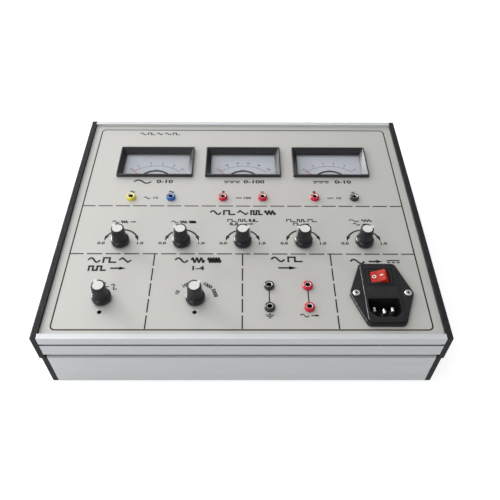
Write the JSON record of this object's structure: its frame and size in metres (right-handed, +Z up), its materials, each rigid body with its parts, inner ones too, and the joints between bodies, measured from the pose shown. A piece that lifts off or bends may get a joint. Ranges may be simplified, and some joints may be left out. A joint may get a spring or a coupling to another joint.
{
  "type": "alternating current circuit trainer",
  "caption": "Flat bench case for circuit lessons: aluminium panel with needle meters, coloured 4 mm sockets, pointer knobs and a mains inlet with switch and fuse drawer.",
  "frame": {"origin": "middle of the footprint, on the bench under the feet", "axes": "+X to the user's right, +Y from the user towards the meters, +Z up"},
  "size_m": [0.31, 0.26, 0.0826],
  "materials": {
    "panel": "satin anodised, fine grain",
    "rail": "matt anodised",
    "cheek": "fine texture",
    "base_sheet": "matt",
    "foot": "matt",
    "screw": "nickel plated",
    "bezel": "satin",
    "meter_case": "matt",
    "window": "clear",
    "dial": "matt white",
    "movement": "matt",
    "pointer": "gloss red",
    "control_metal": "zinc plated",
    "nut": "nickel plated",
    "yellow": "gloss",
    "blue": "gloss",
    "red": "gloss",
    "black": "gloss",
    "contact": "nickel plated",
    "inlet": "satin",
    "rocker": "translucent gloss",
    "fuse": "plated caps on a glass tube",
    "transformer": "varnished",
    "board": "solder mask",
    "standoff": "nickel plated",
    "knob": "satin",
    "cap": "satin white",
    "shaft": "turned"
  },
  "bodies": {
    "case": {"panel_plate": "panel", "front_upper_rail": "rail", "rear_upper_rail": "rail", "front_lower_rail": "rail", "rear_lower_rail": "rail", "left_cheek": "cheek", "right_cheek": "cheek", "base_plate": "base_sheet", "rubber_feet": "foot", "case_screws": "screw", "left_meter_bezel": "bezel", "centre_meter_bezel": "bezel", "right_meter_bezel": "bezel", "left_meter_case": "meter_case", "centre_meter_case": "meter_case", "right_meter_case": "meter_case", "meter_windows": "window", "meter_dials": "dial", "meter_movements": "movement", "potentiometer_bodies": "control_metal", "selector_bodies": "control_metal", "panel_nuts": "nut", "yellow_jack": "yellow", "blue_jack": "blue", "red_jacks": "red", "black_jacks": "black", "jack_contacts": "contact", "inlet_body": "inlet", "inlet_pins": "contact", "inlet_screws": "screw", "transformer": "transformer", "circuit_board": "board", "board_standoffs": "standoff"},
    "amplitude_control": {"amplitude_knob": "knob", "amplitude_knob_cap": "cap", "amplitude_shaft": "shaft"},
    "frequency_control": {"frequency_knob": "knob", "frequency_knob_cap": "cap", "frequency_shaft": "shaft"},
    "duty_ratio_control": {"duty_ratio_knob": "knob", "duty_ratio_knob_cap": "cap", "duty_ratio_shaft": "shaft"},
    "square_linear_control": {"square_linear_knob": "knob", "square_linear_knob_cap": "cap", "square_linear_shaft": "shaft"},
    "sine_linear_control": {"sine_linear_knob": "knob", "sine_linear_knob_cap": "cap", "sine_linear_shaft": "shaft"},
    "waveform_control": {"waveform_knob": "knob", "waveform_knob_cap": "cap", "waveform_shaft": "shaft"},
    "range_control": {"range_knob": "knob", "range_knob_cap": "cap", "range_shaft": "shaft"},
    "left_needle": {"left_meter_pointer": "pointer"},
    "centre_needle": {"centre_meter_pointer": "pointer"},
    "right_needle": {"right_meter_pointer": "pointer"},
    "rocker": {"power_rocker": "rocker"},
    "drawer": {"fuse_drawer": "inlet", "fuse_link": "fuse"}
  },
  "joints": [
    {"name": "amplitude_turn", "type": "hinge", "parent": "case", "child": "amplitude_control", "pos_m": [-0.1026, -0.0337, 0.07], "axis": [0, 0, 1], "range_deg": [-196, 104]},
    {"name": "frequency_turn", "type": "hinge", "parent": "case", "child": "frequency_control", "pos_m": [-0.0513, -0.0337, 0.07], "axis": [0, 0, 1], "range_deg": [-214, 86]},
    {"name": "duty_ratio_turn", "type": "hinge", "parent": "case", "child": "duty_ratio_control", "pos_m": [0, -0.0337, 0.07], "axis": [0, 0, 1], "range_deg": [-83, 217]},
    {"name": "square_linear_turn", "type": "hinge", "parent": "case", "child": "square_linear_control", "pos_m": [0.0513, -0.0337, 0.07], "axis": [0, 0, 1], "range_deg": [-221, 79]},
    {"name": "sine_linear_turn", "type": "hinge", "parent": "case", "child": "sine_linear_control", "pos_m": [0.1026, -0.0337, 0.07], "axis": [0, 0, 1], "range_deg": [-86, 214]},
    {"name": "waveform_turn", "type": "hinge", "parent": "case", "child": "waveform_control", "pos_m": [-0.1085, -0.0923, 0.07], "axis": [0, 0, 1], "range_deg": [-72, 0]},
    {"name": "range_turn", "type": "hinge", "parent": "case", "child": "range_control", "pos_m": [-0.0363, -0.0923, 0.07], "axis": [0, 0, 1], "range_deg": [-36, 108]},
    {"name": "left_needle_swing", "type": "hinge", "parent": "case", "child": "left_needle", "pos_m": [-0.0829, 0.0356, 0.061], "axis": [0, 0, 1], "range_deg": [-81, 0], "stiffness_Nm_per_rad": 0.00001},
    {"name": "centre_needle_swing", "type": "hinge", "parent": "case", "child": "centre_needle", "pos_m": [0, 0.0356, 0.061], "axis": [0, 0, 1], "range_deg": [-81, 0], "stiffness_Nm_per_rad": 0.00001},
    {"name": "right_needle_swing", "type": "hinge", "parent": "case", "child": "right_needle", "pos_m": [0.0829, 0.0356, 0.061], "axis": [0, 0, 1], "range_deg": [-81, 0], "stiffness_Nm_per_rad": 0.00001},
    {"name": "rocker_tilt", "type": "hinge", "parent": "case", "child": "rocker", "pos_m": [0.1084, -0.0739, 0.0673], "axis": [0, 1, 0], "range_deg": [0, 42]},
    {"name": "fuse_drawer_slide", "type": "slide", "parent": "case", "child": "drawer", "axis": [0, 0, 1], "range_m": [0, 0.02]}
  ]
}
